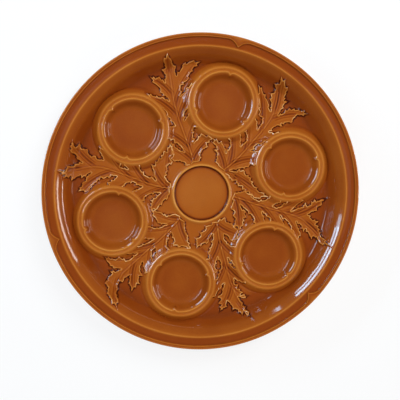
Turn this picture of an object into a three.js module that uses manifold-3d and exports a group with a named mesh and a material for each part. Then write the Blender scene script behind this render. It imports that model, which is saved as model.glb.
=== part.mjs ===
// Artichoke plate: a pressed clay body under a coat of amber glaze.
// Millimetres, +Z up, the table at z = 0, +Y towards the top of the plate.
import * as THREE from "three";
import { mergeVertices } from "three/addons/utils/BufferGeometryUtils.js";
import Module from "manifold-3d";

const wasm = await Module();
wasm.setup();

// Whole plate
const PLATE_R = 185;
const HEIGHT = 36;
const FIELD_Z = 12.5;
const UNDER_Z = 4.5;
const WALL_T = 6.5;
const GLAZE = 0.5;

// Rim, from the lip inwards
const LIP_W = 4;
const LIP_RISE = 2.6;
const BAND_W = 10.5;
const WALL_TURN = 49;
const FILLET_R = 13;

// Foot ring
const FOOT_R = 112;
const FOOT_W = 9;
const FOOT_SLANT = 1.2;
const FOOT_BARE = 1.8;

// Centre seat
const SEAT_R = 34;
const SEAT_RISE = 2.2;
const SEAT_SPREAD = 5;
const SEAT_DROP = 0.8;

// Wells
const WELLS = 6;
const WELL_PITCH = 111;
const WELL_FIRST = 13.3;
const WELL_R = 40;
const WELL_MOUTH_R = 35.3;
const WELL_RISE = 6.5;
const WELL_DEPTH = 10.4;
const WELL_FLOOR_R = 18;
const FLANK_W = 7;

// Raised ornament
const LEAF_RISE = 2;
const CUSPS = 3;
const CUSP_DEEP = 8;
const CUSP_TURN = 4.8;

// Facets
const PLATE_SEGMENTS = 40;
const WELL_SEGMENTS = 18;

const LIP_IN = PLATE_R - LIP_W;
const BAND_Z = HEIGHT - LIP_RISE;
const RIDGE_R = LIP_IN - BAND_W;
const WELL_RIM_Z = FIELD_Z + WELL_RISE;
const RAD = Math.PI / 180;

// Outlines of the six leaf branches: across and outward from the plate's centre, each in its own direction
// midway between two wells, up the left side and down the right, on a plate whose wells stand on DRAWN_PITCH.
const DRAWN_PITCH = 111;
const BRANCHES = [
  [
    [-8, 37], [-14, 39], [-25, 49], [-37, 57], [-25, 61], [-12.5, 56], [-19, 69], [-27, 77], [-14, 81], [-5, 74],
    [-8, 86], [-24, 98], [-14, 108], [-4.5, 103], [-9, 114], [-39, 140], [-22, 136], [-8, 128.5], [-20, 143],
    [-26, 162], [-11, 157], [0, 150], [3, 132], [7, 145], [27, 155], [20, 137], [9.5, 118], [9, 110], [24, 110],
    [13, 96], [8.3, 78.5], [26, 78], [19, 62], [8, 45.5], [18, 54], [41, 50], [62, 52], [50, 40], [17, 36], [8, 37],
  ],
  [
    [-8, 37], [-14, 49], [-8.5, 64], [-9, 75], [-26, 86], [-4.7, 89], [-7, 98], [-22, 108], [-19, 121.5],
    [-6, 113.5], [-16, 132], [-24, 136], [-27.5, 149.5], [-11, 141.5], [-4, 133.5], [1.5, 146], [26, 162.5],
    [22, 146], [8.5, 121.5], [28, 127], [5.5, 100], [24, 98], [6, 77.5], [26, 78], [13.5, 66], [4.5, 50.5],
    [16, 59], [32, 54], [26, 46.5], [13, 43], [8, 37],
  ],
  [
    [-8, 37], [-18, 37], [-24, 46], [-28, 62], [-12, 56.5], [-13, 67], [-26, 84], [-8.3, 86], [-13, 100],
    [-24, 108], [-19.5, 120], [-8.5, 113], [-10, 130], [-18.5, 138], [-7, 136], [-15, 162], [4.5, 149], [8, 137],
    [20, 145.5], [12, 124.5], [6, 114.5], [25, 124], [8, 99], [2.7, 89], [4, 81.5], [24, 88], [13, 72], [2, 52],
    [10, 58], [24.5, 61], [22, 51], [9, 43], [8, 37],
  ],
  [
    [-8, 37], [-18, 47], [-34.5, 57], [-19, 68], [-6, 60.5], [-10, 71], [-26, 86], [-4.5, 87], [-8, 96], [-24, 106],
    [-15.5, 117], [-5, 110], [-20, 132], [-19, 143.5], [-4.5, 132.5], [-1, 146], [-15.5, 166], [11, 156.5],
    [13.5, 145], [9, 133.5], [33, 134.5], [10, 118], [8, 107], [24, 112], [5.5, 80.5], [26, 80], [13, 68],
    [6, 57], [15, 61], [31, 55.5], [13, 48], [8, 37],
  ],
  [
    [-8, 37], [-14, 38.5], [-29, 48], [-32.5, 54], [-22, 57.5], [-11.5, 50], [-16, 61], [-28, 74], [-15, 79.5],
    [-8.5, 72], [-6, 83], [-13, 93], [-24, 102], [-12, 111], [-3.5, 104], [-8.5, 117], [-26, 132], [-30, 143],
    [-6, 134], [-18, 153], [-11, 167.5], [4, 147], [14, 159], [24, 160], [14, 136], [13, 123.5], [26, 126],
    [9, 93.5], [24, 92], [12, 78], [3.5, 58], [19.5, 66], [31, 58], [50, 50.5], [30, 45], [10, 46.5], [8, 37],
  ],
  [
    [-8, 37], [-20, 46], [-22, 50], [-18, 67], [-6, 54.5], [-14, 68], [-26, 84], [-8, 87], [-14, 106], [-27.5, 131],
    [-6, 117], [-15, 139], [-18.5, 149], [-4, 139], [-1.5, 151], [6.7, 165.5], [12, 152], [12, 142.5], [23, 151],
    [42, 149], [21, 132], [10, 119], [26, 116], [5.5, 90], [24, 90], [9, 62], [20, 67.5], [30, 59], [22, 51],
    [8, 37],
  ],
];

// Points on an arc of a profile, degrees from outwards to upwards.
function arc(r, z, radius, from, to, steps) {
  return Array.from({ length: steps + 1 }, (_, i) => {
    const a = (from + ((to - from) * i) / steps) * RAD;
    return [r + radius * Math.cos(a), z + radius * Math.sin(a)];
  });
}

// The profile moved out of its solid by a distance, its ends staying on the axis.
function grown(profile, by) {
  return profile.map(([r, z], i) => {
    const before = profile[Math.max(i - 1, 0)];
    const after = profile[Math.min(i + 1, profile.length - 1)];
    const sides = [[before, [r, z]], [[r, z], after]].map(([p, q]) => [q[1] - p[1], p[0] - q[0]]);
    const units = sides.map(([a, b]) => [a, b].map((c) => c / Math.hypot(a, b))).filter(([a]) => !Number.isNaN(a));
    const [first, last] = [units[0], units[units.length - 1]];
    const reach = by / (1 + first[0] * last[0] + first[1] * last[1]);
    return [r === 0 ? 0 : r + (first[0] + last[0]) * reach, z + (first[1] + last[1]) * reach];
  });
}

// The dish's front, from the lip's outer edge in to the axis.
function frontProfile() {
  const turn = WALL_TURN * RAD;
  const filletTop = FIELD_Z + FILLET_R * (1 - Math.cos(turn));
  const filletR = RIDGE_R - (BAND_Z - filletTop) / Math.tan(turn) - FILLET_R * Math.sin(turn);
  return [
    ...arc(PLATE_R - LIP_W / 2, HEIGHT - LIP_W / 2, LIP_W / 2, -90, 180, 3),
    [LIP_IN - LIP_W / 3, BAND_Z],
    [RIDGE_R, BAND_Z],
    ...arc(filletR, FIELD_Z + FILLET_R, FILLET_R, WALL_TURN - 90, -90, 2),
    [SEAT_R + SEAT_SPREAD, FIELD_Z],
    [SEAT_R, FIELD_Z + SEAT_RISE],
    [SEAT_R - SEAT_RISE, FIELD_Z - SEAT_DROP],
    [0, FIELD_Z - SEAT_DROP],
  ];
}

// The dish's back, from the axis under it, round the foot, to the lip's outer edge.
function backProfile() {
  const turn = WALL_TURN * RAD;
  const front = frontProfile();
  const ridge = front.findIndex(([r]) => r === RIDGE_R);
  const behind = ([r, z]) => [r + WALL_T * Math.sin(turn), z - WALL_T * Math.cos(turn)];
  return [
    [0, UNDER_Z],
    [FOOT_R - FOOT_W / 2 - FOOT_SLANT, UNDER_Z],
    [FOOT_R - FOOT_W / 2, 0],
    [FOOT_R + FOOT_W / 2, 0],
    [FOOT_R + FOOT_W / 2 + FOOT_SLANT, UNDER_Z],
    [front[ridge + 3][0], UNDER_Z],
    behind(front[ridge + 1]),
    behind(front[ridge]),
  ];
}

// A well's ring, standing on the field.
function ringProfile() {
  const flank = [1, 0.45, 0].map((s) => [WELL_R + FLANK_W * s, FIELD_Z + WELL_RISE * (1 - s) ** 2]);
  const base = (UNDER_Z + FIELD_Z) / 2;
  return [[0, base], [WELL_R + FLANK_W, base], ...flank, [0, WELL_RIM_Z]];
}

// The hollow of a well, open above.
function hollowProfile() {
  const run = WELL_MOUTH_R - WELL_FLOOR_R;
  const wall = [0, 40, 70, 90].map((t) => [
    WELL_FLOOR_R + run * Math.sin(t * RAD),
    WELL_RIM_Z - WELL_DEPTH * Math.cos(t * RAD),
  ]);
  return [[0, WELL_RIM_Z - WELL_DEPTH], ...wall, [WELL_MOUTH_R, HEIGHT], [0, HEIGHT]];
}

function toSolid(geometry) {
  geometry.deleteAttribute("normal");
  geometry.deleteAttribute("uv");
  const merged = mergeVertices(geometry, 1e-4);
  const index = Array.from(merged.index.array);
  const kept = index.filter((_, i) => {
    const [a, b, c] = index.slice(i - (i % 3), i - (i % 3) + 3);
    return a !== b && b !== c && c !== a;
  });
  const triVerts = new Uint32Array(kept);
  const vertProperties = merged.getAttribute("position").array;
  return new wasm.Manifold(new wasm.Mesh({ numProp: 3, vertProperties, triVerts }));
}

function turned(profile, segments, x = 0, y = 0) {
  const points = profile.map(([r, z]) => new THREE.Vector2(r, z));
  const geometry = new THREE.LatheGeometry(points, segments);
  geometry.rotateX(Math.PI / 2);
  geometry.translate(x, y, 0);
  return toSolid(geometry);
}

// The part of a lifted dish that stands over an outline, up to a level, the outline widened by the coat.
function raised(outline, lifted, level, coat) {
  const prism = new THREE.ExtrudeGeometry(new THREE.Shape(outline), {
    depth: level + coat,
    bevelThickness: 0,
    bevelSize: 0,
    bevelOffset: coat,
    bevelSegments: 0,
  });
  return lifted.intersect(toSolid(prism));
}

function polar(r, degrees) {
  return new THREE.Vector2(r * Math.sin(degrees * RAD), r * Math.cos(degrees * RAD));
}

// A branch's outline in the plate's frame.
function branchOutline(points, degrees) {
  const scale = WELL_PITCH / DRAWN_PITCH;
  const centre = new THREE.Vector2();
  return points.map(([across, out]) =>
    new THREE.Vector2(across * scale, out * scale).rotateAround(centre, -degrees * RAD),
  );
}

// A pointed bracket that the lip sends inwards over the band.
function cuspOutline(degrees) {
  const sides = [-1, -0.5, -0.15, 0, 0.15, 0.5, 1];
  const inner = sides.map((s) =>
    polar(LIP_IN - LIP_W / 3 - CUSP_DEEP * (1 - Math.abs(s)) ** 2, degrees + s * CUSP_TURN),
  );
  return [...inner, ...[0.9, -0.9].map((s) => polar(LIP_IN + LIP_W / 4, degrees + s * CUSP_TURN))];
}

// The pressed plate, with every surface moved out by a coat's thickness.
function pressedPlate(coat) {
  const turns = Array.from({ length: WELLS }, (_, k) => WELL_FIRST + (360 / WELLS) * k);
  const centres = turns.map((degrees) => polar(WELL_PITCH, degrees));
  const filled = turned(grown([...backProfile(), [PLATE_R, HEIGHT], [0, HEIGHT]], coat), PLATE_SEGMENTS);
  const rings = centres.map(({ x, y }) => turned(grown(ringProfile(), coat), WELL_SEGMENTS, x, y));
  const hollows = centres.map(({ x, y }) => turned(grown(hollowProfile(), -coat), WELL_SEGMENTS, x, y));
  const dish = turned(grown([...backProfile(), ...frontProfile()], coat), PLATE_SEGMENTS);
  const lifted = dish.translate([0, 0, LEAF_RISE]);
  const leaves = BRANCHES.map((points, k) => branchOutline(points, turns[k] + 180 / WELLS));
  const cusps = Array.from({ length: CUSPS }, (_, k) => cuspOutline(WELL_FIRST + (360 / CUSPS) * k));
  let plate = dish;
  for (const outline of leaves) {
    plate = plate.add(raised(outline, lifted, HEIGHT, coat));
  }
  for (const outline of cusps) {
    plate = plate.add(raised(outline, lifted, BAND_Z + LEAF_RISE, coat));
  }
  for (const ring of rings) {
    plate = plate.add(ring.intersect(filled));
  }
  for (const hollow of hollows) {
    plate = plate.subtract(hollow);
  }
  return plate;
}

function mesh(name, solid, colour, roughness) {
  const { vertProperties, triVerts } = solid.getMesh();
  const geometry = new THREE.BufferGeometry();
  geometry.setAttribute("position", new THREE.BufferAttribute(vertProperties, 3));
  geometry.setIndex(new THREE.BufferAttribute(triVerts, 1));
  geometry.computeVertexNormals();
  const material = new THREE.MeshStandardMaterial({ color: colour, roughness, metalness: 0 });
  const piece = new THREE.Mesh(geometry, material);
  piece.name = name;
  return piece;
}

// The glaze is what the coat adds to the clay, wiped from the foot ring before firing.
const clay = pressedPlate(0);
const wiped = turned(
  [
    [FOOT_R - FOOT_W, -1],
    [FOOT_R + FOOT_W, -1],
    [FOOT_R + FOOT_W, FOOT_BARE],
    [FOOT_R - FOOT_W, FOOT_BARE],
    [FOOT_R - FOOT_W, -1],
  ],
  PLATE_SEGMENTS,
);
const coats = pressedPlate(GLAZE).subtract(clay).subtract(wiped).decompose();
coats.sort((a, b) => b.volume() - a.volume());

const plate = new THREE.Group();
plate.name = "artichoke_plate";
plate.add(mesh("clay_body", clay, 0xc9a27a, 0.9));
plate.add(mesh("amber_glaze", coats[0], 0x9c5a1e, 0.12));
plate.add(mesh("foot_recess_glaze", coats[1], 0x9c5a1e, 0.12));
export default plate;
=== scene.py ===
"""An artichoke plate: a round dish with six ringed wells, a plain seat in the middle and six leaf branches.

Lengths are in millimetres until a mesh is made. Angles run clockwise from +Y, seen from above.
"""

import math

import bpy
import numpy as np
from mathutils import Matrix, Vector


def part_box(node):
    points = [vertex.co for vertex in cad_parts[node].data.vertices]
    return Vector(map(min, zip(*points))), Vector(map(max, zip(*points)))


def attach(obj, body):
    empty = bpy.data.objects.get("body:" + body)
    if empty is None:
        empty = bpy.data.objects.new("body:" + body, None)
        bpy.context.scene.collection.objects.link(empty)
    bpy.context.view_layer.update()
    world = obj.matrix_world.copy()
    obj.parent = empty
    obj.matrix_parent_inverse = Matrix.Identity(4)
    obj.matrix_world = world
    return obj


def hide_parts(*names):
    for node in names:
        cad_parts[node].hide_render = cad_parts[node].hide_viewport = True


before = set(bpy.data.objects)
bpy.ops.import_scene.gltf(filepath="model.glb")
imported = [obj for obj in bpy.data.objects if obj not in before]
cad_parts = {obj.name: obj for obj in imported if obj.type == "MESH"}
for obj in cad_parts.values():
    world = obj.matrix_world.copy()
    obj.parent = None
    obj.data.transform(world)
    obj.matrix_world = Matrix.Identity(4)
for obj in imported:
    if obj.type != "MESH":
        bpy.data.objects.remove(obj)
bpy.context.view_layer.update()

MM = 0.001

# Driving sizes, on the outside of the glaze
glaze_low, glaze_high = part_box("amber_glaze")
PLATE_R = glaze_high.x / MM
TOP_Z = glaze_high.z / MM
BARE_Z = glaze_low.z / MM
FOOT_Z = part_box("clay_body")[0].z / MM
FOOT_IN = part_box("foot_recess_glaze")[1].x / MM + 0.4
FOOT_OUT = FOOT_IN + 9.2
FIELD_Z = 13.0
UNDER_Z = 4.0
RIDGE_R = 170.7
LIP_EDGE = PLATE_R - 0.05
LIP_IN = 181.2
SEAT_R = 34.2
SEAT_Z = FIELD_Z - 0.8

# The wells, and the rings of cusps on their inner edges and on the lip
WELLS = 6
WELL_PITCH = 111.0
WELL_FIRST = 13.3
WELL_FLOOR = 9.2
FLANK_OUT = 49.0
RING_OUT = 40.4
RING_IN = 35.4
RING_TOP = 19.9
CUSPS = 3
LIP_CUSP_DEEP = 8.0
LIP_CUSP_TURN = 4.0
RING_CUSP_DEEP = 2.8
RING_CUSP_TURN = 7.5

# Under a well the field sinks between these distances from the well's middle, and keeps this much clay
SINK_IN = 45.0
SINK_OUT = 48.5
SUNK_Z = WELL_FLOOR - 2.6
LEAST_CLAY = 1.0

# The leaves: the grid they are worked out on, how far the crest lies inside the mitred edge, the glaze
# depth on them, and their heights over the dish
LEAF_CELL = 0.45
LEAF_MARGIN = 4.0
EDGE_IN = 0.8
LEAF_DEPTH = 0.53
LEAF_HIGH = 1.0
CREST_HIGH, CREST_WIDE = 0.8, 1.2
SWELL_HIGH, SWELL_WIDE = 0.3, 6.0
FALL_SLOPE = 1.7
SKIRT_HIGH, SKIRT_SLOPE, SKIRT_WIDE = 0.10, 0.035, 2.6
DIP_SLOPE = 3.0
HIDDEN_HIGH = -0.7

# A leaf's sheet is kept where it is over SHEET_SEEN, and is nowhere under SHEET_LOW. Its underside lies
# SHEET_UNDER below the surface of the dish.
SHEET_SEEN = -0.6
SHEET_LOW = -1.2
SHEET_UNDER = 1.4

# The corners of a leaf's edge, the runs that carry a barb, and the span where veins may leave the midrib
INTO_LEAF = 1
OUT_OF_LEAF = -1
LONG_RUN = 7.0
RIB_FOOT, RIB_HEAD = 39.0, 150.0

# Points round the axis, points for each corner of a line, and steps for reading a density of angles
DISH_STEPS = 384
WELL_STEPS = 220
FOOT_STEPS = 256
DISH_PER_CORNER = 4
WELL_PER_CORNER = 5
RIB_PER_CORNER = 5
VEIN_POINTS = 13
FINE_STEPS = 7201

TINY = 1e-9
FAR_BELOW = -100.0

WELL_ANGLES = np.radians(WELL_FIRST + 360.0 / WELLS * np.arange(WELLS))
WELL_X = WELL_PITCH * np.sin(WELL_ANGLES)
WELL_Y = WELL_PITCH * np.cos(WELL_ANGLES)
LIP_CUSPS = np.radians(WELL_FIRST + 360.0 / CUSPS * np.arange(CUSPS))


def step(x, a, b):
    """Smooth rise from 0 at a to 1 at b: 3 t squared less 2 t cubed, t held between 0 and 1."""
    t = np.clip((x - a) / (b - a), 0.0, 1.0)
    return t * t * (3.0 - 2.0 * t)


def bell(x, middle, width):
    """A bell of height 1: e to the minus square of the distance from the middle over the width."""
    return np.exp(-(((x - middle) / width) ** 2))


def rounded(corners, per_corner):
    """Carries a smooth line along a list of corners: at each corner a parabola from the middle of the
    edge before it to the middle of the edge after it. All columns are carried alike."""
    c = np.asarray(corners, float)
    before, after = (c[:-2] + c[1:-1]) / 2, (c[1:-1] + c[2:]) / 2
    before[0], after[-1] = c[0], c[-1]
    t = np.linspace(0.0, 1.0, per_corner, endpoint=False)[None, :, None]
    line = (1 - t) ** 2 * before[:, None] + 2 * t * (1 - t) * c[1:-1][:, None] + t**2 * after[:, None]
    return np.vstack([line.reshape(-1, c.shape[1]), c[-1:]])


def turn_between(angle, places):
    """The turn from each angle to each place, the shorter way round."""
    return np.abs((angle[:, None] - places[None, :] + np.pi) % (2 * np.pi) - np.pi)


def turns(count, places, width, share):
    """Angles round a full turn, closer together near the given places: the running sum of a density
    of 1 plus a bell at each place, read back at even steps."""
    fine = np.linspace(0.0, 2 * np.pi, FINE_STEPS)
    density = 1.0 + share * bell(turn_between(fine, places), 0.0, width).sum(1)
    run = np.concatenate([[0.0], np.cumsum((density[1:] + density[:-1]) / 2)])
    return np.interp(np.arange(count) / count, run / run[-1], fine)


def cusp(angle, places, half_turn):
    """Height of a pointed cusp: 1 at each place, falling to 0 at half_turn either side along a curve
    hollow towards the ring, (1 less the share of the way) squared."""
    return (np.clip(1.0 - turn_between(angle, places) / half_turn, 0.0, 1.0) ** 2).max(1)


def make_piece(name, points, faces, depth, material, nodes):
    """A mesh from points in millimetres, with the glaze depth kept as a value on each point."""
    mesh = bpy.data.meshes.new(name)
    mesh.from_pydata((points * MM).tolist(), [], faces)
    glaze_depth = mesh.attributes.new("glaze_depth", "FLOAT", "POINT")
    glaze_depth.data.foreach_set("value", depth.astype(np.float32))
    mesh.polygons.foreach_set("use_smooth", np.ones(len(mesh.polygons), bool))
    mesh.materials.append(material)
    piece = bpy.data.objects.new(name, mesh)
    bpy.context.collection.objects.link(piece)
    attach(piece, "root")
    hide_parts(*nodes)
    return piece


def round_grid(r, z, angle):
    """Points and faces of a turned form. Row i holds radius r[i] and height z[i] at every angle; the
    first and last rows are single points on the axis, and the rows between close round the axis."""
    rows, count = r.shape
    ring = np.stack([r * np.sin(angle), r * np.cos(angle), z], 2)[1:-1].reshape(-1, 3)
    points = np.vstack([[0.0, 0.0, z[0].mean()], ring, [0.0, 0.0, z[-1].mean()]])
    j = np.arange(count)
    k = (j + 1) % count
    i = 1 + count * np.arange(rows - 3)[:, None]
    quads = np.stack([i + j, i + count + j, i + count + k, i + k], 2).reshape(-1, 4)
    last = len(points) - 1
    first_fan = np.stack([np.zeros_like(j), 1 + j, 1 + k], 1)
    last_row = 1 + count * (rows - 3)
    last_fan = np.stack([np.full_like(j, last), last_row + k, last_row + j], 1)
    return points, quads.tolist() + first_fan.tolist() + last_fan.tolist()


def round_values(column, count):
    """A value for each point of a turned form: one on the axis at both ends, and count on each row between."""
    return np.concatenate([column[:1], np.repeat(column[1:-1], count), column[-1:]])


def srgb(*rgb):
    """A written colour, 0 to 255, as linear light."""
    c = np.asarray(rgb, float) / 255.0
    return (*np.where(c <= 0.04045, c / 12.92, ((c + 0.055) / 1.055) ** 2.4), 1.0)


def new_material(name):
    """A material with its node tree and its shader."""
    material = bpy.data.materials.new(name)
    material.use_nodes = True
    return material, material.node_tree, material.node_tree.nodes["Principled BSDF"]


def math_node(tree, operation, *inputs):
    """A Math node whose inputs are numbers or other nodes' outputs."""
    node = tree.nodes.new("ShaderNodeMath")
    node.operation = operation
    for socket, value in zip(node.inputs, inputs):
        if isinstance(value, float):
            socket.default_value = value
        else:
            tree.links.new(value, socket)
    return node.outputs["Value"]


def noise_node(tree, place, scale, detail):
    """A Noise node that reads the given coordinates."""
    node = tree.nodes.new("ShaderNodeTexNoise")
    node.inputs["Scale"].default_value = scale
    node.inputs["Detail"].default_value = detail
    tree.links.new(place, node.inputs["Vector"])
    return node.outputs["Fac"]


def add_bump(tree, shader, height, strength, distance):
    """A Bump node from a height to the shader's normal."""
    bump = tree.nodes.new("ShaderNodeBump")
    bump.inputs["Strength"].default_value = strength
    bump.inputs["Distance"].default_value = distance
    tree.links.new(height, bump.inputs["Height"])
    tree.links.new(bump.outputs["Normal"], shader.inputs["Normal"])


# The colour of the glaze by its depth, from thin to pooled, and how far clouds and specks move the depth
GLAZE_COLOURS = [
    (0.00, (238, 200, 146)),
    (0.14, (206, 138, 60)),
    (0.32, (182, 106, 36)),
    (0.50, (162, 84, 22)),
    (0.70, (138, 61, 13)),
    (1.00, (70, 22, 4)),
]
CLOUD_SHARE = 0.16
SPECK_SHARE = 0.10


def glaze_material():
    """Amber glaze: golden where it runs thin off an edge, amber on the flats, red-brown where it pools.
    Slow clouds and fine iron specks move the depth a little, a faint ripple bends the surface, and a
    clear coat gives the gloss."""
    material, tree, shader = new_material("amber_glaze")
    shader.inputs["Roughness"].default_value = 0.08
    shader.inputs["IOR"].default_value = 1.6
    shader.inputs["Coat Weight"].default_value = 0.3
    shader.inputs["Coat Roughness"].default_value = 0.03
    depth = tree.nodes.new("ShaderNodeAttribute")
    depth.attribute_name = "glaze_depth"
    place = tree.nodes.new("ShaderNodeTexCoord").outputs["Object"]
    cloud = noise_node(tree, place, scale=28.0, detail=4.0)
    speck = noise_node(tree, place, scale=900.0, detail=2.0)
    clouded = math_node(tree, "MULTIPLY_ADD", cloud, CLOUD_SHARE, depth.outputs["Fac"])
    specked = math_node(tree, "MULTIPLY_ADD", speck, SPECK_SHARE, clouded)
    level = math_node(tree, "SUBTRACT", specked, (CLOUD_SHARE + SPECK_SHARE) / 2)
    ramp = tree.nodes.new("ShaderNodeValToRGB")
    ramp.color_ramp.interpolation = "EASE"
    for at, colour in GLAZE_COLOURS[1:-1]:
        ramp.color_ramp.elements.new(at).color = srgb(*colour)
    ramp.color_ramp.elements[0].color = srgb(*GLAZE_COLOURS[0][1])
    ramp.color_ramp.elements[-1].color = srgb(*GLAZE_COLOURS[-1][1])
    tree.links.new(level, ramp.inputs["Fac"])
    tree.links.new(ramp.outputs["Color"], shader.inputs["Base Color"])
    ripple = noise_node(tree, place, scale=60.0, detail=2.0)
    add_bump(tree, shader, ripple, strength=0.05, distance=0.002)
    return material


def clay_material():
    """Bare fired clay: a matt buff body with darker grains and a light tooth."""
    material, tree, shader = new_material("bare_clay")
    shader.inputs["Roughness"].default_value = 0.85
    place = tree.nodes.new("ShaderNodeTexCoord").outputs["Object"]
    grain = noise_node(tree, place, scale=700.0, detail=6.0)
    ramp = tree.nodes.new("ShaderNodeValToRGB")
    dark, pale = ramp.color_ramp.elements
    dark.position, dark.color = 0.3, srgb(176, 148, 112)
    pale.position, pale.color = 0.65, srgb(222, 204, 174)
    tree.links.new(grain, ramp.inputs["Fac"])
    tree.links.new(ramp.outputs["Color"], shader.inputs["Base Color"])
    add_bump(tree, shader, grain, strength=0.3, distance=0.0004)
    return material


GLAZE = glaze_material()
CLAY = clay_material()

# The dish: radius, height, glaze depth, and how far the lip's cusps carry the point inwards
DISH = [
    # Underside and foot
    (0, UNDER_Z, 0.5, 0), (40, UNDER_Z, 0.5, 0), (80, UNDER_Z, 0.5, 0), (FOOT_IN - 4, UNDER_Z, 0.5, 0),
    (FOOT_IN - 1.2, UNDER_Z, 0.9, 0), (FOOT_IN - 0.6, BARE_Z + 0.9, 0.5, 0), (FOOT_IN - 0.3, BARE_Z, 0.2, 0),
    (FOOT_IN + 1.2, BARE_Z - 0.4, 0.2, 0), (FOOT_OUT - 1.2, BARE_Z - 0.4, 0.2, 0),
    (FOOT_OUT + 0.3, BARE_Z, 0.2, 0), (FOOT_OUT + 0.6, BARE_Z + 0.9, 0.5, 0),
    (FOOT_OUT + 1.4, UNDER_Z, 0.9, 0), (FOOT_OUT + 5, UNDER_Z, 0.5, 0),
    # Outside of the wall
    (141.0, UNDER_Z, 0.5, 0), (153.5, 4.1, 0.55, 0), (161.6, 13.0, 0.55, 0), (170.0, 22.6, 0.55, 0),
    (176.2, 29.7, 0.6, 0), (181.0, 31.3, 0.6, 0), (184.2, 31.7, 0.4, 0),
    # Lip
    (LIP_EDGE, 32.6, 0.3, 0), (LIP_EDGE, 34.6, 0.3, 0), (LIP_EDGE - 0.3, 36.0, 0.3, 0),
    (184.6, TOP_Z, 0.34, 0), (183.7, TOP_Z - 0.1, 0.5, 0.2), (182.9, TOP_Z - 0.35, 0.63, 0.65),
    (182.1, TOP_Z - 0.45, 0.64, 0.93), (LIP_IN + 0.3, 36.3, 0.3, 1), (LIP_IN + 0.1, 36.1, 0.3, 1),
    (LIP_IN - 0.05, 35.7, 0.4, 1), (LIP_IN - 0.4, 34.4, 0.6, 1),
    # Groove, band and ridge
    (LIP_IN - 0.6, 33.95, 0.76, 1), (LIP_IN - 1.0, 33.72, 0.78, 1), (LIP_IN - 2.5, 33.75, 0.68, 0.85),
    (177.0, 33.7, 0.69, 0.5), (174.6, 33.8, 0.69, 0.2), (172.8, 33.95, 0.66, 0), (171.7, 34.3, 0.42, 0),
    (RIDGE_R, 34.5, 0.22, 0), (RIDGE_R - 0.9, 33.7, 0.44, 0),
    # Inside of the wall
    (168.2, 32.3, 0.56, 0), (166.4, 30.6, 0.58, 0), (164.2, 28.4, 0.58, 0), (161.8, 25.8, 0.6, 0),
    (158.8, 21.1, 0.68, 0), (155.0, 15.7, 0.74, 0), (152.4, 13.2, 0.81, 0),
    # Field
    (149.0, FIELD_Z, 0.77, 0), (139.0, FIELD_Z, 0.66, 0), (128, FIELD_Z, 0.55, 0), (110, FIELD_Z, 0.52, 0),
    (92, FIELD_Z, 0.5, 0), (76, FIELD_Z, 0.5, 0), (63, FIELD_Z, 0.5, 0), (51, FIELD_Z, 0.5, 0),
    # Seat and its ring
    (SEAT_R + 7.5, FIELD_Z, 0.52, 0), (SEAT_R + 4.5, FIELD_Z + 0.2, 0.5, 0),
    (SEAT_R + 2.2, FIELD_Z + 1.0, 0.44, 0), (SEAT_R + 0.8, FIELD_Z + 2.0, 0.24, 0),
    (SEAT_R - 0.3, FIELD_Z + 2.3, 0.08, 0), (SEAT_R - 1.3, FIELD_Z + 1.6, 0.3, 0),
    (SEAT_R - 1.9, FIELD_Z - 0.5, 0.95, 0), (SEAT_R - 2.8, FIELD_Z - 1.1, 0.95, 0),
    (SEAT_R - 4.4, SEAT_Z, 0.47, 0), (20, SEAT_Z, 0.44, 0), (8, SEAT_Z, 0.44, 0), (0, SEAT_Z, 0.44, 0),
]

# A well, about its own middle: radius, height, glaze depth, and how far its cusps carry the point inwards
WELL = [
    # Underside, inside the dish
    (0, WELL_FLOOR - 1.5, 0.5, 0), (30, WELL_FLOOR - 1.5, 0.5, 0), (40, WELL_FLOOR - 1.2, 0.5, 0),
    (45.5, 10.6, 0.5, 0), (FLANK_OUT, FIELD_Z - 0.8, 0.6, 0), (FLANK_OUT, FIELD_Z - 0.03, 0.62, 0),
    # Flank
    (48.6, FIELD_Z + 0.06, 0.68, 0), (47.8, FIELD_Z + 0.5, 0.68, 0), (46.4, FIELD_Z + 1.6, 0.58, 0),
    (44.3, FIELD_Z + 3.4, 0.48, 0), (42.5, FIELD_Z + 5.4, 0.42, 0),
    # Double ring
    (RING_OUT + 0.8, RING_TOP - 0.5, 0.3, 0), (RING_OUT, RING_TOP, 0.26, 0),
    (RING_OUT - 0.9, RING_TOP, 0.36, 0), (RING_OUT - 1.9, RING_TOP - 0.5, 0.46, 0.1),
    (RING_OUT - 2.9, RING_TOP - 0.65, 0.46, 0.4), (RING_IN + 1.2, RING_TOP - 0.45, 0.4, 0.8),
    (RING_IN + 0.5, RING_TOP, 0.22, 1), (RING_IN - 0.3, RING_TOP - 0.2, 0.24, 1),
    # Hollow
    (RING_IN - 1.1, RING_TOP - 0.72, 0.42, 1), (RING_IN - 1.9, RING_TOP - 1.33, 0.54, 0.95),
    (RING_IN - 2.7, RING_TOP - 2.03, 0.58, 0.85), (RING_IN - 3.4, RING_TOP - 2.8, 0.6, 0.6),
    (30.6, 14.8, 0.6, 0.2), (28.9, 12.3, 0.6, 0), (27.4, 10.7, 0.6, 0), (24.8, 9.6, 0.6, 0),
    (20.5, WELL_FLOOR, 0.63, 0), (14, WELL_FLOOR, 0.62, 0), (6, WELL_FLOOR, 0.61, 0), (0, WELL_FLOOR, 0.61, 0),
]

dish_line = rounded(DISH, DISH_PER_CORNER)
well_line = rounded(WELL, WELL_PER_CORNER)

# The parts of the dish's line that other pieces are set against, each from the middle outwards
lip_crest = int(np.argmax(dish_line[:, 1]))
dish_outside = dish_line[:lip_crest]
dish_outside = dish_outside[dish_outside[:, 0] > FOOT_OUT + 5.0]
dish_inside = dish_line[lip_crest:]
dish_inside = dish_inside[(dish_inside[:, 0] > SEAT_R + 3.0) & (dish_inside[:, 0] < RIDGE_R + 1.0)][::-1]


def dish_height(r):
    """Height of the dish's inside at a radius, read along its turned line from the seat to the ridge."""
    return np.interp(r, dish_inside[:, 0], dish_inside[:, 1])


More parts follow.
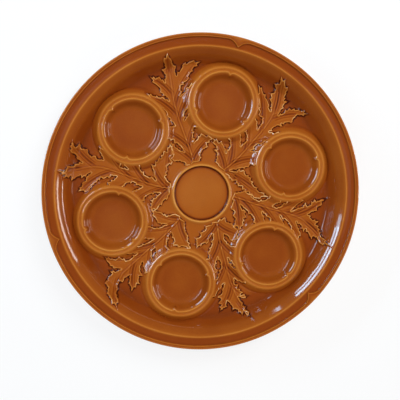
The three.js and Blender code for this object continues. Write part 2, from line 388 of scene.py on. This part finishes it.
def dish_depth(r):
    """Depth of the glaze on the dish's inside at a radius, read along the same line."""
    return np.interp(r, dish_inside[:, 0], dish_inside[:, 2])


def underside_height(r):
    """Height of the dish's outside at a radius, read along its turned line from the foot to the lip."""
    return np.interp(r, dish_outside[:, 0], dish_outside[:, 1])


def well_height(d):
    """Height of a well's flank and ring at a distance from its middle, read along its turned line. Past
    the flank it is far below everything."""
    flank = well_line[(well_line[:, 0] > RING_OUT) & (well_line[:, 1] > FIELD_Z - 0.02)][::-1]
    return np.interp(d, flank[:, 0], flank[:, 1], right=FAR_BELOW)


def well_distance(x, y):
    """Distance to the middle of the nearest well."""
    return np.sqrt((x[..., None] - WELL_X) ** 2 + (y[..., None] - WELL_Y) ** 2).min(-1)


def make_dish():
    """The dish turned round its axis. Its lip moves inwards at the cusps, and its field sinks out of
    sight under each well."""
    angle = turns(DISH_STEPS, LIP_CUSPS, width=np.radians(3.0), share=5.0)
    lip = cusp(angle, LIP_CUSPS, np.radians(LIP_CUSP_TURN))
    r = dish_line[:, :1] - LIP_CUSP_DEEP * dish_line[:, 3:] * lip[None, :]
    z = np.repeat(dish_line[:, 1:2], len(angle), 1)
    front = (np.arange(len(dish_line)) > lip_crest)[:, None]
    d = well_distance(r * np.sin(angle), r * np.cos(angle))
    low = np.maximum(SUNK_Z, underside_height(r) + LEAST_CLAY)
    rise = step(d, SINK_IN, SINK_OUT)
    sunk = low * (1 - rise) + z * rise
    z = np.where(front & (d < SINK_OUT), np.minimum(z, sunk), z)
    points, faces = round_grid(r, z, angle)
    depth = round_values(dish_line[:, 2], len(angle))
    nodes = ["amber_glaze", "foot_recess_glaze"]
    return make_piece("glazed_dish", points, faces, depth, GLAZE, nodes)


def make_well(n):
    """One ringed well turned round its own middle. Its inner ring carries three cusps, the first on the
    side towards the rim."""
    places = WELL_ANGLES[n] + 2 * np.pi / CUSPS * np.arange(CUSPS)
    angle = turns(WELL_STEPS, places, width=np.radians(5.0), share=4.0)
    ring = cusp(angle, places, np.radians(RING_CUSP_TURN))
    r = well_line[:, :1] - RING_CUSP_DEEP * well_line[:, 3:] * ring[None, :]
    z = np.repeat(well_line[:, 1:2], len(angle), 1)
    points, faces = round_grid(r, z, angle)
    points += [WELL_X[n], WELL_Y[n], 0.0]
    depth = round_values(well_line[:, 2], len(angle))
    return make_piece("well_%d" % (n + 1), points, faces, depth, GLAZE, ["amber_glaze"])


def make_foot():
    """The bare foot ring: a rounded section turned round the axis and closed on itself."""
    middle, half = (FOOT_IN + FOOT_OUT) / 2, (FOOT_OUT - FOOT_IN) / 2
    section = np.array([
        (-half, BARE_Z + 0.1), (-half + 0.15, 0.7), (-half + 0.5, FOOT_Z + 0.15), (-half + 1.3, FOOT_Z),
        (0, FOOT_Z), (half - 1.3, FOOT_Z), (half - 0.5, FOOT_Z + 0.15), (half - 0.15, 0.7),
        (half, BARE_Z + 0.1), (0, BARE_Z + 0.3),
    ])
    angle = np.linspace(0.0, 2 * np.pi, FOOT_STEPS, endpoint=False)
    rows, count = len(section), len(angle)
    r = (middle + section[:, :1]) + 0 * angle
    z = section[:, 1:] + 0 * angle
    points = np.stack([r * np.sin(angle), r * np.cos(angle), z], 2).reshape(-1, 3)
    i, j = np.arange(rows)[:, None], np.arange(count)[None, :]
    i2, j2 = (i + 1) % rows, (j + 1) % count
    quads = np.stack([i * count + j, i2 * count + j, i2 * count + j2, i * count + j2], 2).reshape(-1, 4)
    depth = np.zeros(len(points))
    return make_piece("bare_foot", points, quads.tolist(), depth, CLAY, ["clay_body"])


# The branches, each drawn about its own midline: (across, outwards). "rib" is the line of the
# midrib, "tips" are the ends of its leaves and "edge" runs up the left side and down the right.
BRANCHES = [
    dict(
        turn=343.3,
        rib=[(1, 38), (2, 50), (1, 66), (-1, 95), (0, 118), (4, 140), (6, 160)],
        tips=[
            (-21, 66), (-20, 83), (-27, 130), (-18, 148), (6.5, 164), (40, 148.5), (25, 120), (22, 86),
            (28, 60),
        ],
        edge=[
            (-8, 38), (-9.5, 41), (-14, 44.5), (-19.5, 46.5), (-22.5, 50), (-19.5, 55), (-19, 61),
            (-17.5, 68), (-15, 66), (-13.5, 62), (-10, 57.5), (-6.2, 54.5), (-8, 60), (-10.5, 64.5),
            (-14, 67.5), (-14.5, 71), (-22, 76), (-22, 90), (-14, 88), (-11.5, 87.2), (-8, 87.3),
            (-9, 91.5), (-12, 99), (-13, 104), (-16, 110), (-24, 118), (-27.5, 131), (-22, 127.5),
            (-16, 124), (-11, 121.5), (-6, 117), (-8, 122.5), (-12, 128.5), (-12, 133), (-15, 139),
            (-18.5, 149), (-13, 146), (-8.5, 145.5), (-4, 139), (-1.5, 146), (-2.5, 152), (1, 154.5),
            (2, 160), (6.7, 165.5), (9.5, 160.5), (11.5, 155), (13, 152), (11.5, 146.5), (12, 142.5),
            (19, 148), (23, 151), (31, 151.5), (42, 149), (34.5, 145), (28.5, 140), (21, 133), (14, 128.5),
            (10, 119), (16, 122), (26, 128), (24, 110), (12, 100.5), (8.5, 97.5), (5.5, 90), (9, 92.3),
            (13, 94.5), (22, 92), (22, 80), (14, 77), (11, 70.5), (9, 62), (14, 64.5), (20, 68), (30, 59),
            (24, 55.5), (22, 51.5), (17, 49.5), (13, 46), (10, 40), (8, 38),
        ],
    ),
    dict(
        turn=43.3,
        rib=[(0, 38), (2, 50), (3, 62), (2, 100), (0, 120), (-4, 132), (-16, 150)],
        tips=[
            (-35, 56.5), (-24, 77), (-22, 100), (-37, 138.5), (-25, 160), (25, 153), (24, 110), (22, 78),
            (60, 51), (44, 41),
        ],
        edge=[
            (-7, 38), (-13, 39), (-16, 43), (-20, 47), (-25, 48.5), (-24, 50.5), (-28, 53), (-37, 57),
            (-28, 58.5), (-25, 61), (-20, 59.5), (-15, 57.5), (-12.5, 56), (-14.5, 64), (-19, 68.5),
            (-26, 72), (-24, 82), (-14, 81.5), (-10, 79), (-5, 74), (-5, 82), (-8.5, 86.5), (-13, 88.5),
            (-22, 92), (-22, 108), (-14.5, 108.5), (-10, 107), (-4.5, 103), (-6, 110), (-9.5, 114.5),
            (-15, 115), (-17, 118), (-26, 126), (-39, 140), (-31, 138.5), (-23, 135.5), (-17, 133),
            (-13, 131), (-8, 128.5), (-14, 135.5), (-20.5, 142.5), (-20, 147), (-22, 151), (-26, 153.5),
            (-23.5, 157), (-26, 162), (-18, 160.5), (-11, 157.5), (-8, 154), (-4, 149), (0, 150.5),
            (-0.5, 146), (1, 138), (3, 132), (5.5, 138), (7, 145.5), (10, 147), (16, 152), (19, 153),
            (27, 155), (23, 150), (20, 146.5), (19.5, 141), (20, 136), (17, 132), (13.5, 126.5),
            (15, 124.5), (11, 121), (9.5, 117), (9, 110), (14, 112.5), (22, 120), (24, 100), (13, 96.5),
            (11.5, 92), (9, 88), (8.3, 78.5), (12, 80.5), (20, 84), (26, 72), (20, 66), (19, 61.5),
            (14.5, 55), (8, 45.5), (12, 49.5), (18, 54), (24, 53), (30.5, 54), (33, 52), (41, 50),
            (50, 49.5), (62, 52), (50, 40), (41, 39.5), (38, 37.5), (30, 38.5), (26, 36.8), (20, 38.5),
            (16, 36), (8, 37),
        ],
    ),
    dict(
        turn=103.3,
        rib=[(-5, 38), (-4, 50), (-1, 75), (0, 100), (1, 120), (5, 132), (16, 150)],
        tips=[
            (-22, 88), (-20, 112), (-25, 136), (-27, 148), (25, 161), (27, 126), (20, 98), (22, 76),
            (31, 54),
        ],
        edge=[
            (-9, 39), (-12, 45), (-14, 49.5), (-12.5, 56), (-8.5, 64), (-7.5, 70), (-10, 76.5), (-14, 80),
            (-24, 84), (-22, 92), (-11, 94.5), (-8, 91.5), (-4.7, 88.8), (-4.2, 93), (-7, 97.5),
            (-11, 99.5), (-12, 102), (-20, 108), (-21, 116), (-19, 121.5), (-14, 118), (-6, 113.5),
            (-9, 119), (-12, 123.5), (-16.5, 126), (-14.5, 129.5), (-17, 133), (-24, 136), (-22.5, 139),
            (-25, 144), (-27.5, 149.5), (-23, 146), (-19, 145.5), (-15, 142.5), (-11, 141.5), (-8, 137),
            (-4, 133.5), (0.5, 140), (1.5, 146.5), (6, 146), (11, 152), (13, 151.5), (19, 155.5),
            (26, 162.5), (25.5, 154), (22, 150), (21.5, 146), (24, 144), (20, 140), (15, 134.5),
            (17.5, 132), (12, 128), (8.5, 121.5), (14, 124.5), (20, 128), (28, 127), (23, 120.5),
            (15.5, 115), (11, 110.5), (5.5, 100), (10, 103), (14, 105), (22, 104), (20, 92), (12, 87.5),
            (9, 83), (6, 77.5), (10, 79.5), (15, 81), (22, 80), (24, 72), (17, 69), (13.5, 66), (9, 59),
            (4.5, 50.5), (8, 54), (16, 59), (19, 57), (26, 57.5), (32, 54), (30, 51), (31, 47), (26, 47),
            (21, 46.5), (18, 44), (13, 43), (9, 39),
        ],
    ),
    dict(
        turn=163.3,
        rib=[(-7, 38), (-6, 50), (-4, 62), (-3, 95), (-3, 120), (-5, 138), (-9, 152)],
        tips=[
            (-27, 60), (-20, 87), (-20, 119), (-18, 137.5), (-14.5, 161), (19.5, 145), (25, 118), (20, 87),
            (24, 60),
        ],
        edge=[
            (-8, 38), (-17.5, 36.5), (-19.5, 42), (-24, 46), (-26, 49.5), (-28, 55), (-26, 64), (-20, 66.5),
            (-17.5, 64.5), (-15, 59.5), (-12, 56.5), (-11, 61), (-13, 67), (-16.5, 71.5), (-24, 78),
            (-16, 96), (-12, 94), (-8.3, 86), (-8, 91), (-11, 97), (-13, 99.5), (-22, 104), (-19.5, 120),
            (-15, 118), (-11, 115.5), (-8.5, 113), (-7.5, 118), (-10, 121), (-9, 125), (-12.5, 131),
            (-11, 134), (-18.5, 138), (-12, 138), (-7, 136), (-8, 141), (-9.5, 144), (-9, 147),
            (-11.5, 150), (-10.5, 153), (-15, 162), (-8, 155), (-4.5, 156.5), (-1, 151), (2, 149),
            (4.5, 149), (4.5, 145), (6, 140), (8, 137), (10, 140), (11, 143), (15, 143.5), (20, 145.5),
            (17, 139), (18.5, 136), (15.5, 131.5), (17, 128), (12, 124.5), (9, 120), (6, 114.5), (11, 118),
            (16, 121), (20, 124.5), (25, 124), (26, 110), (13, 104.5), (8, 99.5), (7.5, 97), (4, 94),
            (2.7, 88), (4, 81.5), (7, 85), (9.5, 91), (9, 96), (18, 94), (22, 80), (15, 77), (12.5, 71),
            (8, 65), (3.5, 57.5), (2, 52), (6, 55), (10, 58.5), (17, 59.5), (24.5, 61), (23.5, 56),
            (22, 51.5), (17, 49), (14.5, 45.5), (9.5, 43.5), (5.5, 40),
        ],
    ),
    dict(
        turn=223.3,
        rib=[(-1, 38), (-2, 50), (-2, 70), (1, 95), (3, 125), (4, 142), (-8, 160)],
        tips=[
            (-33, 56.5), (-23, 86), (-20, 112), (-19, 142), (-15, 165.5), (32, 134.5), (23, 109), (24, 79),
            (30, 55.5),
        ],
        edge=[
            (-8, 39), (-10, 40.5), (-14, 44), (-18, 47), (-23, 49), (-28, 53.5), (-34.5, 57), (-26, 63),
            (-18, 68.5), (-15, 65), (-9, 61.5), (-6, 60.5), (-7, 65), (-10.5, 71.5), (-14, 75), (-24, 80),
            (-22, 94), (-11.5, 92.5), (-8, 89.5), (-4.5, 87), (-4.5, 91.5), (-8, 96), (-12.5, 98.5),
            (-22, 104), (-15.5, 117), (-12.5, 114.5), (-9, 112.5), (-5, 110), (-6.5, 114.5), (-10, 118.5),
            (-15, 121.5), (-14, 125), (-17, 129), (-20, 131.5), (-18, 134), (-19, 143.5), (-14, 141),
            (-10.5, 139.5), (-8, 136.5), (-4.5, 132.5), (-2.5, 138), (-3, 143), (-1, 145.5), (-2, 150),
            (-4.5, 153), (-7, 157), (-12, 160.5), (-15.5, 166), (-7, 165), (-2, 163.5), (2, 162.5),
            (6, 158.5), (11, 156.5), (12.5, 150.5), (13.5, 145), (17, 143.5), (12, 139.5), (9, 133.5),
            (14, 136.5), (21, 138.5), (23, 138), (28, 136.5), (33, 134.5), (27, 131.5), (22, 128),
            (19.5, 123.5), (12, 121), (9.5, 117), (8, 107), (13, 111), (18, 115), (24, 118), (22, 100),
            (13.5, 97), (9, 91), (7, 86), (5.5, 80.5), (9, 83.5), (14, 85.5), (24, 84), (24, 74), (19, 71),
            (14, 69), (10, 65), (6, 57), (10, 60), (15, 61), (21, 59.5), (31, 55.5), (25, 52.5), (19.5, 50),
            (13, 48), (9, 43.5), (5.5, 40),
        ],
    ),
    dict(
        turn=283.3,
        rib=[(-3, 38), (-4, 58), (0, 85), (3, 110), (4, 126), (-2, 145), (-11, 160)],
        tips=[
            (-32, 54), (-27, 74), (-22, 102), (-29, 142), (-11, 166), (23, 159), (26, 117), (21, 90),
            (20, 65), (48, 50),
        ],
        edge=[
            (-8, 38), (-14, 39), (-20, 43), (-29, 48), (-32.5, 54), (-30, 56), (-24, 56), (-22, 57.5),
            (-17, 53), (-11.5, 50), (-12.5, 55), (-16, 61), (-20.5, 65), (-28, 68), (-26, 80), (-15, 79.5),
            (-12, 76), (-8.5, 72), (-7.5, 76), (-6, 83), (-8.5, 89.5), (-13.5, 93), (-22, 96), (-22, 108),
            (-15.5, 110), (-12, 111), (-7.5, 106), (-3.5, 104), (-4, 109), (-8.5, 117), (-9.5, 121),
            (-15, 125), (-20, 128.5), (-26, 132), (-30, 143), (-24, 141), (-20, 140.5), (-16, 138),
            (-12, 137.5), (-8.5, 135.5), (-6, 134), (-9, 137.5), (-13.5, 142.5), (-12, 145), (-15, 149),
            (-18.5, 153), (-15, 155.5), (-17, 161), (-13.5, 161.5), (-11, 167.5), (-9, 162), (-4, 160),
            (-2, 155), (0.5, 153), (4, 147), (7, 152), (11, 155), (14, 159), (20, 161), (24, 160),
            (21, 156.5), (24, 153), (20.5, 149.5), (20, 144), (16, 140.5), (14, 137), (14.5, 133),
            (12.5, 129), (13, 123.5), (16, 125), (20, 128), (26, 130), (22, 104), (10, 101), (9, 93.5),
            (11, 96), (20, 95), (22, 86), (15, 79.5), (12, 77.5), (7, 71), (3.5, 58), (8, 60.5), (14, 63),
            (19.5, 66), (21, 62.5), (29, 59.5), (31, 57), (38, 55.5), (40, 52), (50, 50.5), (44, 46.5),
            (38, 44.5), (33, 45.5), (28.5, 43.5), (22, 47), (17, 46), (10, 46.5), (6, 43), (3, 39.5),
        ],
    ),
]


def edge_runs(edge):
    """The run that comes to each corner of a closed edge and the run that goes from it, with how far the
    edge bends to the left there: the cross product of the two."""
    come, go = edge - np.roll(edge, 1, 0), np.roll(edge, -1, 0) - edge
    return come, go, come[:, 0] * go[:, 1] - come[:, 1] * go[:, 0]


def lengths(runs):
    """The length of each run."""
    return np.hypot(runs[:, 0], runs[:, 1])


def sharpened(edge, share, most):
    """Draws the corners of an edge out: each moves away from the middle of its two neighbours by a share of
    its distance from there, up to a limit."""
    a = np.asarray(edge, float)
    off = a - (np.roll(a, 1, 0) + np.roll(a, -1, 0)) / 2
    size = np.maximum(lengths(off), TINY)[:, None]
    return a + off / size * np.minimum(share * size, most)


def barbed(edge, share, longest):
    """Each long straight run of an edge carries one barb, which stands out from the run by a share of its
    length and points towards the tip that the run climbs to or comes down from."""
    a = edge
    b = np.roll(a, -1, 0)
    along = b - a
    length = lengths(along)[:, None]
    out = np.stack([-along[:, 1], along[:, 0]], 1) / length
    high = np.where(length > LONG_RUN, np.minimum(share * length, longest), 0.0)
    climbs = (b[:, 1:] + 0.6 * np.abs(b[:, :1])) > (a[:, 1:] + 0.6 * np.abs(a[:, :1]))
    first = a + np.where(climbs, 0.42 * along + out * high, 0.48 * along - 0.1 * out * high)
    second = a + np.where(climbs, 0.52 * along - 0.1 * out * high, 0.58 * along + out * high)
    return np.stack([a, first, second], 1).reshape(-1, 2)


def mitred(edge, wide, most):
    """Moves each corner of an edge that turns out of the leaf along its bisector: the sum of the two runs'
    outward normals over 1 plus their product, times a width, up to a limit. A line drawn that far inside the
    new edge keeps the corner as sharp as it was."""
    come, go, bend = edge_runs(edge)
    come = come / (lengths(come)[:, None] + TINY)
    go = go / (lengths(go)[:, None] + TINY)
    normal = np.stack([-come[:, 1] - go[:, 1], come[:, 0] + go[:, 0]], 1)
    move = wide * normal / np.maximum(1.0 + (come * go).sum(1), 0.05)[:, None]
    size = lengths(move)[:, None]
    return edge + np.where(bend[:, None] < 0, move * np.minimum(1.0, most / np.maximum(size, TINY)), 0.0)


def corner_bell(p, edge, way, width):
    """A bell about the nearest clear corner of an edge, of those that turn into the leaf or out of it: where
    the sine of the bend is over 0.35 or the edge turns back on itself."""
    come, go, bend = edge_runs(edge)
    bend = way * bend / (lengths(come) * lengths(go) + TINY)
    back = (come * go).sum(1) < 0
    corners = edge[(bend > 0.35) | ((bend > 0) & back)]
    return bell(np.sqrt(((p[:, None] - corners) ** 2).sum(2)).min(1), 0.0, width)


def line_distance(p, a, b):
    """Distance of each point to each straight run a to b, and the share of the run where it is nearest."""
    ab = b - a
    t = np.clip(((p[:, None] - a) * ab).sum(2) / np.maximum((ab * ab).sum(1), TINY), 0.0, 1.0)
    off = p[:, None] - a - t[..., None] * ab
    return np.sqrt((off * off).sum(2)), t


def leaf_distance(p, edge):
    """Distance to the nearest run of a closed edge, above zero inside it. A point is inside where a line
    from it crosses the edge an odd number of times. The points are taken in parts to save memory."""
    far = np.empty(len(p))
    inside = np.empty(len(p), bool)
    a, b = edge, np.roll(edge, -1, 0)
    rise = np.where(b[:, 1] == a[:, 1], TINY, b[:, 1] - a[:, 1])
    for part in np.array_split(np.arange(len(p)), 1 + len(p) // 4000):
        q = p[part]
        far[part] = line_distance(q, a, b)[0].min(1)
        spans = (a[None, :, 1] > q[:, None, 1]) != (b[None, :, 1] > q[:, None, 1])
        at = a[:, 0] + (q[:, None, 1] - a[:, 1]) / rise * (b[:, 0] - a[:, 0])
        inside[part] = ((spans & (q[:, None, 0] < at)).sum(1) % 2) == 1
    return np.where(inside, far, -far)


def line_relief(p, line):
    """Distance of each point to a line of points, and the share of the way along it. The points are taken
    in parts to save memory."""
    far = np.empty(len(p))
    along = np.empty(len(p))
    a, b = line[:-1], line[1:]
    for part in np.array_split(np.arange(len(p)), 1 + len(p) // 20000):
        d, t = line_distance(p[part], a, b)
        pick = d.argmin(1)
        rows = np.arange(len(part))
        far[part] = d[rows, pick]
        along[part] = (pick + t[rows, pick]) / len(a)
    return far, along


def side_vein(rib, tip):
    """The vein of one leaf: it leaves the rib lower down, runs beside it, and bends out to the leaf's tip
    along a parabola."""
    across, out = tip
    low = np.clip(out - 14.0 - 0.75 * abs(across), RIB_FOOT, RIB_HEAD)
    start = np.array([np.interp(low, rib[:, 1], rib[:, 0]), low])
    end = np.array([across, out])
    bend = start + (end - start) * np.array([0.22, 0.55])
    t = np.linspace(0.0, 1.0, VEIN_POINTS)[:, None]
    return (1 - t) ** 2 * start + 2 * t * (1 - t) * bend + t**2 * end


def leaf_height(phi):
    """Height of a leaf over the dish from the distance inside its edge: a crest along the edge, a hollow
    inside it that swells slowly, and outside it a steep fall to a thin skirt of pooled glaze, which dips
    under the dish's surface."""
    crest = CREST_HIGH * bell(phi, 0.0, CREST_WIDE)
    swell = SWELL_HIGH * (1 - bell(phi, 0.0, SWELL_WIDE))
    fall = LEAF_HIGH + CREST_HIGH + FALL_SLOPE * phi
    skirt = SKIRT_HIGH + SKIRT_SLOPE * (phi + 1.0)
    dip = DIP_SLOPE * np.clip(-SKIRT_WIDE - phi, 0.0, None)
    return np.where(phi > 0, LEAF_HIGH + crest + swell, np.maximum(fall, skirt)) - dip


def leaf_depth(n, p, phi, edge, ground):
    """Depth of the glaze on a leaf. It is thin along the crest, more so in some places than in others, deep
    beside it and deepest in the corners that turn into the leaf. The dark line is fainter at the leaf's
    points. Away from the leaf it is the depth on the dish."""
    pool = corner_bell(p, edge, INTO_LEAF, 1.9)
    point = corner_bell(p, edge, OUT_OF_LEAF, 1.7)
    bright = 0.78 + 0.22 * np.sin(0.33 * p[:, 0] + 1.7 * n) * np.sin(0.27 * p[:, 1] + 0.9 * n)
    depth = ground + (LEAF_DEPTH - ground) * step(phi, -0.6, 0.8)
    depth += 0.36 * (1 - 0.8 * point) * bell(phi, -0.9, 0.5) + 0.5 * pool * bell(phi, -1.3, 1.2)
    depth -= 0.7 * bright * (1 - 0.3 * point) * bell(phi, 0.15, 0.58)
    return depth


def add_veins(height, depth, p, branch, held):
    """Adds the veins to a branch. The midrib is a fine ridge between two grooves. Each leaf's vein is a groove
    in a broad hollow, with a flute on either side of it. They fade towards the tips and the leaf's edge."""
    rib = np.asarray(branch["rib"], float)
    far, along = line_relief(p, rounded(rib, RIB_PER_CORNER))
    size = held * (1.0 - 0.5 * along)
    height += size * (0.45 * bell(far, 0.0, 0.8) - 0.3 * bell(far, 1.7, 0.8))
    depth += size * (0.2 * bell(far, 1.5, 0.6) - 0.22 * bell(far, 0.0, 0.6))
    for tip in branch["tips"]:
        far, along = line_relief(p, side_vein(rib, tip))
        size = held * step(along, 0.0, 0.25) * (1.0 - 0.6 * step(along, 0.6, 1.0))
        flute = bell(far, 3.1, 0.7)
        height -= size * (0.7 * bell(far, 0.0, 2.4) + 0.2 * bell(far, 0.0, 0.8) + 0.2 * flute)
        depth += size * (0.2 * bell(far, 0.0, 1.7) + 0.14 * bell(far, 0.0, 0.7) + 0.2 * flute)
        depth -= size * (0.12 * bell(far, 1.9, 0.5) + 0.1 * bell(far, 4.6, 1.0))


def closed_sheet(x, y, top, under, shown):
    """A thin closed sheet over the cells of a grid that have a shown corner: its top, its underside turned
    over, and a wall along its rim, which is each run that no other cell walks the other way. It also gives
    the grid points that are used."""
    cell = shown[:-1, :-1] | shown[1:, :-1] | shown[:-1, 1:] | shown[1:, 1:]
    # No two cells meet at a corner alone: the cell beside both is shown as well
    for _ in range(3):
        cell[:-1, 1:] |= cell[:-1, :-1] & cell[1:, 1:] & ~cell[1:, :-1]
        cell[:-1, :-1] |= cell[:-1, 1:] & cell[1:, :-1] & ~cell[1:, 1:]
    index = np.arange(shown.size).reshape(shown.shape)
    quads = np.stack([index[:-1, :-1], index[:-1, 1:], index[1:, 1:], index[1:, :-1]], 2)[cell]
    used, quads = np.unique(quads, return_inverse=True)
    quads = quads.reshape(-1, 4)
    count = len(used)
    start, end = quads.ravel(), np.roll(quads, -1, 1).ravel()
    rim = ~np.isin(end * count + start, start * count + end)
    start, end = start[rim], end[rim]
    sides = np.stack([start, start + count, end + count, end], 1)
    faces = np.vstack([quads, quads[:, ::-1] + count, sides])
    points = np.vstack([np.stack([x[used], y[used], z[used]], 1) for z in (top, under)])
    return points, faces.tolist(), used


def make_branch(n, branch):
    """One leaf branch as a thin closed sheet that lies on the dish, worked out on a grid about its midline.
    Its height comes from the distance to its edge and to its veins. It fades out where it meets a well's
    ring and the seat's ring."""
    edge = barbed(sharpened(branch["edge"], share=0.3, most=0.8), share=0.16, longest=1.4)
    edge = mitred(edge, EDGE_IN, most=2.2)
    low, high = edge.min(0) - LEAF_MARGIN, edge.max(0) + LEAF_MARGIN
    v, u = np.meshgrid(np.arange(low[0], high[0], LEAF_CELL), np.arange(low[1], high[1], LEAF_CELL))
    shape = v.shape
    v, u = v.ravel(), u.ravel()
    turn = math.radians(branch["turn"])
    x, y = u * math.sin(turn) + v * math.cos(turn), u * math.cos(turn) - v * math.sin(turn)
    r, d = np.hypot(x, y), well_distance(x, y)
    p = np.stack([v, u], 1)
    phi = leaf_distance(p, edge) - EDGE_IN
    height = leaf_height(phi)
    depth = leaf_depth(n, p, phi, edge, dish_depth(r))
    add_veins(height, depth, p, branch, held=step(phi, 0.6, 2.4))
    seen = step(d, RING_OUT + 0.8, RING_OUT + 3.6) * step(r, SEAT_R + 2.0, SEAT_R + 5.0)
    height = np.maximum(height * seen + HIDDEN_HIGH * (1 - seen), SHEET_LOW)
    base = np.maximum(dish_height(r), well_height(d))
    shown = (height > SHEET_SEEN).reshape(shape)
    points, faces, used = closed_sheet(x, y, base + height, base - SHEET_UNDER, shown)
    shade = np.tile(np.clip(depth[used], 0.0, 1.0), 2)
    return make_piece("leaf_branch_%d" % (n + 1), points, faces, shade, GLAZE, ["amber_glaze"])


make_foot()
make_dish()
for n in range(WELLS):
    make_well(n)
for n, branch in enumerate(BRANCHES):
    make_branch(n, branch)


def around(turn_deg, lift_deg, away):
    """A place round the plate: an angle clockwise from +Y, a height above the horizon and a distance."""
    t, e = math.radians(turn_deg), math.radians(lift_deg)
    return (away * math.sin(t) * math.cos(e), away * math.cos(t) * math.cos(e), away * math.sin(e))


def area_light(name, place, width, height, power, colour):
    """A rectangular soft light that faces the plate."""
    lamp = bpy.data.lights.new(name, "AREA")
    lamp.shape = "RECTANGLE"
    lamp.size, lamp.size_y = width, height
    lamp.energy = power
    lamp.color = colour
    holder = bpy.data.objects.new(name, lamp)
    holder.location = place
    holder.rotation_euler = Vector(place).to_track_quat("Z", "Y").to_euler()
    bpy.context.collection.objects.link(holder)
    return holder


# Lamps: place, width, height, watts and colour, in metres. The first three light the plate without
# showing in its gloss, and the others are plain panels that it reflects.
SOFTBOX_SIDE = 0.9
WHITE = (1.0, 1.0, 1.0)
SKY_BLUE = (0.52, 0.77, 1.0)
for name, place, power in [
    ("softbox", around(38, 48, 1.8), 13.0),
    ("overhead", around(330, 84, 1.8), 17.6),
    ("fill", around(190, 40, 1.8), 5.0),
]:
    area_light(name, place, SOFTBOX_SIDE, SOFTBOX_SIDE, power, WHITE).visible_glossy = False
area_light("window_left_low", around(298, 21.8, 1.45), 0.89, 0.055, 2.5, SKY_BLUE)
area_light("window_left_high", around(298, 27.5, 1.45), 0.89, 0.105, 4.7, SKY_BLUE)
area_light("pane_near", around(328, 25, 1.45), 0.07, 0.17, 0.3, SKY_BLUE)
area_light("pane_far", around(277, 25, 1.45), 0.16, 0.17, 0.6, SKY_BLUE)
area_light("window_right_low", around(90, 2.8, 1.5), 0.62, 0.06, 3.8, (1.0, 0.98, 0.95))
area_light("window_right_high", around(86, 16.5, 1.5), 0.85, 0.10, 2.0, (1.0, 0.95, 0.88))
area_light("glow_right", around(36, 2.8, 1.5), 1.8, 0.09, 0.9, (1.0, 0.9, 0.8))
area_light("ceiling_left", around(302, 62, 1.6), 1.0, 0.55, 0.4, (0.9, 0.95, 1.0))
area_light("ceiling_right", around(80, 56, 1.6), 1.0, 0.5, 0.35, (1.0, 0.97, 0.94))

# The floor, in metres and a little below the foot. It looks nearly white and keeps the plate's shadow.
FLOOR_Z = -0.0002
FLOOR_GLOW = 0.7
FLOOR_CORNERS = [(-4.0, -4.0), (4.0, -4.0), (4.0, 4.0), (-4.0, 4.0)]
floor_mesh = bpy.data.meshes.new("floor")
floor_mesh.from_pydata([(x, y, FLOOR_Z) for x, y in FLOOR_CORNERS], [], [(0, 1, 2, 3)])
floor = bpy.data.objects.new("floor", floor_mesh)
bpy.context.collection.objects.link(floor)
paint, tree, matt = new_material("floor_paint")
matt.inputs["Base Color"].default_value = (0.92, 0.92, 0.92, 1.0)
matt.inputs["Roughness"].default_value = 0.9
white = tree.nodes.new("ShaderNodeEmission")
ray = tree.nodes.new("ShaderNodeLightPath").outputs
seen = math_node(tree, "MAXIMUM", ray["Is Camera Ray"], ray["Is Glossy Ray"])
through = math_node(tree, "MAXIMUM", seen, ray["Is Transmission Ray"])
both = tree.nodes.new("ShaderNodeMixShader")
tree.links.new(math_node(tree, "MULTIPLY", through, FLOOR_GLOW), both.inputs["Fac"])
tree.links.new(matt.outputs["BSDF"], both.inputs[1])
tree.links.new(white.outputs["Emission"], both.inputs[2])
tree.links.new(both.outputs["Shader"], tree.nodes["Material Output"].inputs["Surface"])
floor_mesh.materials.append(paint)

# The light all round: faint on the plate, and pale where the camera sees it
SKY_LIGHT = 0.05
SKY_SEEN = 0.9
world = bpy.data.worlds.new("studio")
bpy.context.scene.world = world
world.use_nodes = True
tree = world.node_tree
sky = tree.nodes["Background"]
sky.inputs["Color"].default_value = (1.0, 1.0, 1.0, 1.0)
ray = tree.nodes.new("ShaderNodeLightPath").outputs
level = math_node(tree, "MULTIPLY_ADD", ray["Is Camera Ray"], SKY_SEEN, SKY_LIGHT)
tree.links.new(level, sky.inputs["Strength"])

# The camera, in metres: nearly straight above, leaning a little towards the upper left. The plate's radius
# covers RADIUS_PX of a square image, and the aim is set off from the middle of the plate's rim.
LEAN = math.radians(7.1)
HEADING = math.radians(324.5)
AWAY = 0.70
SENSOR = 36.0
IMAGE_PX = 400.0
RADIUS_PX = 159.05
AIM_Z = 0.034
AIM_SIDE = -0.0035
AIM_UP = -0.0059
toward = Vector((math.sin(HEADING) * math.sin(LEAN), math.cos(HEADING) * math.sin(LEAN), math.cos(LEAN)))
lens = bpy.data.cameras.new("camera")
lens.sensor_width = SENSOR
lens.lens = SENSOR * RADIUS_PX / IMAGE_PX * AWAY / (PLATE_R * MM)
camera = bpy.data.objects.new("camera", lens)
up = (Vector((0, 1, 0)) - toward * toward.y).normalized()
side = up.cross(toward)
aim = Vector((0.0, 0.0, AIM_Z)) + side * AIM_SIDE + up * AIM_UP
turn = Matrix((side, up, toward)).transposed().to_4x4()
camera.matrix_world = Matrix.Translation(aim + toward * AWAY) @ turn
bpy.context.collection.objects.link(camera)
bpy.context.scene.camera = camera

bpy.context.scene.view_settings.view_transform = "Standard"

bpy.context.view_layer.update()
